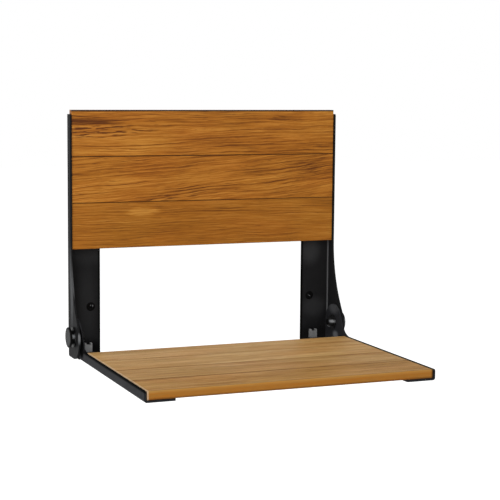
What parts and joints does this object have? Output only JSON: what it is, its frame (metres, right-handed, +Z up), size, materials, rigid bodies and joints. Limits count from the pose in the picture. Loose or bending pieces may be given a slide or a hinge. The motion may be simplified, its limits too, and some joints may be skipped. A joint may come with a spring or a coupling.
{
  "type": "fold down wall seat",
  "caption": "Wall-mounted seat with a slatted wooden backrest and a slatted wooden seat that folds up on two bent steel hinge brackets.",
  "frame": {"origin": "on the wall plane, midway between the two open wall bolt holes", "axes": "+X to the right seen from the room, +Y into the wall, +Z up"},
  "size_m": [0.4888, 0.3893, 0.4006],
  "materials": {
    "back_teak": "oiled, golden brown with darker figure",
    "seat_teak": "oiled, lighter tan with a soft sheen",
    "bracket_steel": "satin black powder coat",
    "arm_steel": "satin black powder coat, fine texture",
    "hinge_black": "black, smoother than the sheet",
    "hinge_fasteners": "blackened steel",
    "bush_nylon": "black nylon",
    "bumper_grey": "moulded grey"
  },
  "bodies": {
    "wall_frame": {"wall_bracket_left": "bracket_steel", "hinge_pin_left": "hinge_black", "hinge_collar_left": "hinge_black", "hinge_washer_left": "hinge_fasteners", "hinge_nut_left": "hinge_fasteners", "wall_bracket_right": "bracket_steel", "hinge_pin_right": "hinge_black", "hinge_collar_right": "hinge_black", "hinge_washer_right": "hinge_fasteners", "hinge_nut_right": "hinge_fasteners", "back_slat_bottom": "back_teak", "back_slat_middle": "back_teak", "back_slat_top": "back_teak"},
    "seat": {"seat_arm_left": "arm_steel", "hinge_bush_left": "bush_nylon", "stop_bumper_left": "bumper_grey", "seat_arm_right": "arm_steel", "hinge_bush_right": "bush_nylon", "stop_bumper_right": "bumper_grey", "seat_slat_1": "seat_teak", "seat_slat_2": "seat_teak", "seat_slat_3": "seat_teak", "seat_slat_4": "seat_teak"}
  },
  "joints": [
    {"name": "seat_fold", "type": "hinge", "parent": "wall_frame", "child": "seat", "pos_m": [0, -0.035, -0.043], "axis": [-1, 0, 0], "range_deg": [0, 90]}
  ]
}
